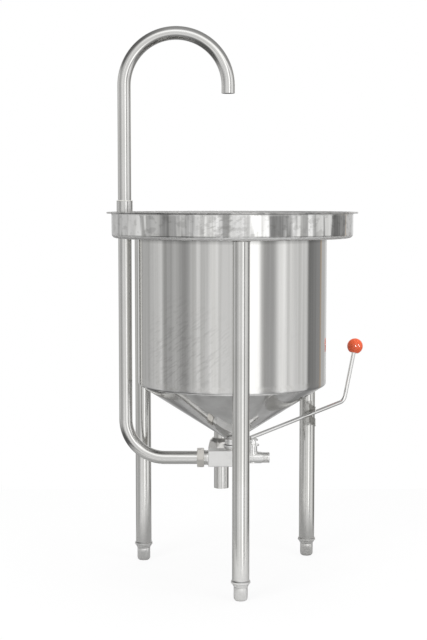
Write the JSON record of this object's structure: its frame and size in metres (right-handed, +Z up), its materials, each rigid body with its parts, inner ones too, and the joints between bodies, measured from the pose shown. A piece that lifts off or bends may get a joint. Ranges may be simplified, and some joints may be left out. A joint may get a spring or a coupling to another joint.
{
  "type": "rice washing tank",
  "caption": "Open stainless tank with a conical bottom on a tripod, overflow trough, swivelling swan-neck return spout, jet mixing block and hand-levered water cock.",
  "frame": {"origin": "on the floor under the barrel's axis, the centre of the circle of the three feet", "axes": "+Z up along the barrel's axis, +X towards the water inlet and the lever, -Y to the front leg"},
  "size_m": [0.6378, 0.6, 1.3129],
  "materials": {
    "polished_steel": "polished stainless sheet",
    "cone_steel": "mill-finish stainless sheet, duller at the welds",
    "tube_steel": "polished stainless tube",
    "foot_steel": "turned stainless",
    "cast_steel": "cast and blasted stainless, pale satin",
    "nut_steel": "machined stainless, warm grey",
    "rod_steel": "drawn stainless bar",
    "guide_steel": "cut and bent stainless sheet",
    "red_knob": "glossy orange-red moulded ball",
    "brass": "turned brass",
    "black_rubber": "matt black rubber",
    "white_plastic": "white low-friction plastic"
  },
  "bodies": {
    "frame": {"barrel": "polished_steel", "trough_pan": "polished_steel", "cone_bottom": "cone_steel", "outlet_neck": "cone_steel", "leg_front": "tube_steel", "leg_right": "tube_steel", "leg_left": "tube_steel", "riser_pipe": "tube_steel", "spout_sleeve": "tube_steel", "drain_pipe": "tube_steel", "drain_tail": "tube_steel", "riser_ferrule": "tube_steel", "leg_socket_front": "foot_steel", "leg_socket_right": "foot_steel", "leg_socket_left": "foot_steel", "mixing_block": "cast_steel", "valve_body": "cast_steel", "inlet_nipple": "cast_steel", "union_nipple": "cast_steel", "neck_lock_nut": "cast_steel", "packing_nut": "cast_steel", "union_nut": "nut_steel", "drain_union_nut": "nut_steel", "lever_guide": "guide_steel", "guide_screws": "guide_steel", "jet_nozzle": "brass", "spout_seal": "black_rubber", "union_gasket": "black_rubber", "neck_gasket": "black_rubber", "drain_gasket": "black_rubber", "upper_bush": "white_plastic", "lower_bush": "white_plastic", "stem_packing": "white_plastic"},
    "lever": {"cock_plug": "rod_steel", "lever_hub": "rod_steel", "hub_weld": "rod_steel", "lever_rod": "rod_steel", "lever_knob": "red_knob"},
    "spout": {"spout": "tube_steel"},
    "foot_front": {"foot_front": "foot_steel"},
    "foot_right": {"foot_right": "foot_steel"},
    "foot_left": {"foot_left": "foot_steel"}
  },
  "joints": [
    {"name": "lever_turn", "type": "hinge", "parent": "frame", "child": "lever", "pos_m": [0.05, 0, 0.28105], "axis": [0, 0, 1], "range_deg": [-90, 0]},
    {"name": "spout_swivel", "type": "hinge", "parent": "frame", "child": "spout", "pos_m": [-0.257, 0, 0.8755], "axis": [0, 0, 1], "continuous": true},
    {"name": "foot_front_screw", "type": "slide", "parent": "frame", "child": "foot_front", "axis": [0, 0, -1], "range_m": [0, 0.025]},
    {"name": "foot_right_screw", "type": "slide", "parent": "frame", "child": "foot_right", "axis": [0, 0, -1], "range_m": [0, 0.025]},
    {"name": "foot_left_screw", "type": "slide", "parent": "frame", "child": "foot_left", "axis": [0, 0, -1], "range_m": [0, 0.025]}
  ]
}
